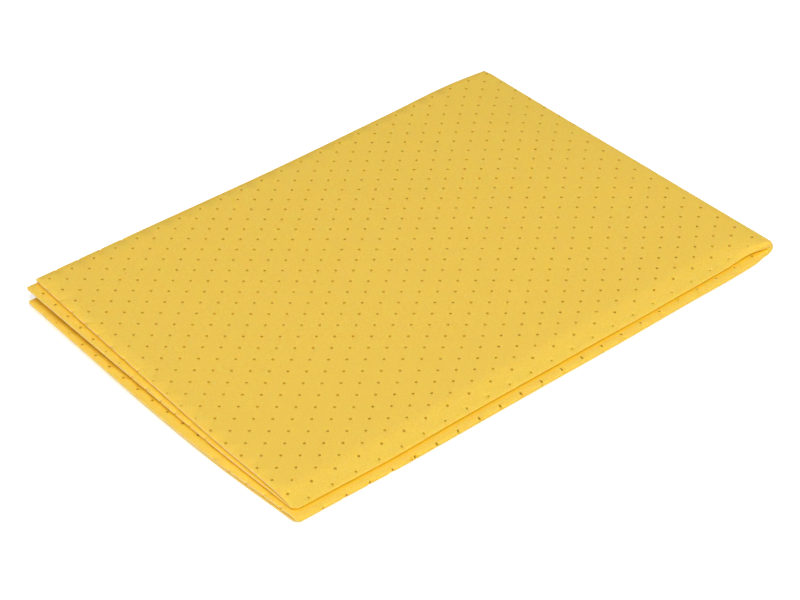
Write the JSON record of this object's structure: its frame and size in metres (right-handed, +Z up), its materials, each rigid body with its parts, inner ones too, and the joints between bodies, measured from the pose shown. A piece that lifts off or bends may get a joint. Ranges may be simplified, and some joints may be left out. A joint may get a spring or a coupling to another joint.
{
  "type": "synthetic chamois cloth",
  "caption": "Yellow perforated nonwoven cleaning cloth folded in quarters, whose upper half opens like a book about the end fold.",
  "frame": {"origin": "on the resting surface, under the middle of the folded cloth's bounding box", "axes": "+X towards the end fold (along the folded cloth's long side), -Y towards the side fold, +Z up"},
  "size_m": [0.2022, 0.1516, 0.008],
  "materials": {
    "chamois_nonwoven": "matt impregnated viscose nonwoven, fine felted surface, staggered rows of small punched holes, paler at the cut edges"
  },
  "bodies": {
    "lower_half": {"bottom_panel": "chamois_nonwoven", "third_panel": "chamois_nonwoven", "lower_side_fold": "chamois_nonwoven", "lower_outer_end_fold": "chamois_nonwoven", "lower_inner_end_fold": "chamois_nonwoven", "lower_corner_fold": "chamois_nonwoven"},
    "upper_half": {"top_panel": "chamois_nonwoven", "second_panel": "chamois_nonwoven", "upper_side_fold": "chamois_nonwoven", "upper_outer_end_fold": "chamois_nonwoven", "upper_inner_end_fold": "chamois_nonwoven", "upper_corner_fold": "chamois_nonwoven"}
  },
  "joints": [
    {"name": "half_fold", "type": "hinge", "parent": "lower_half", "child": "upper_half", "pos_m": [0.10189, 0, 0.004], "axis": [0, 1, 0], "range_deg": [0, 180]}
  ]
}
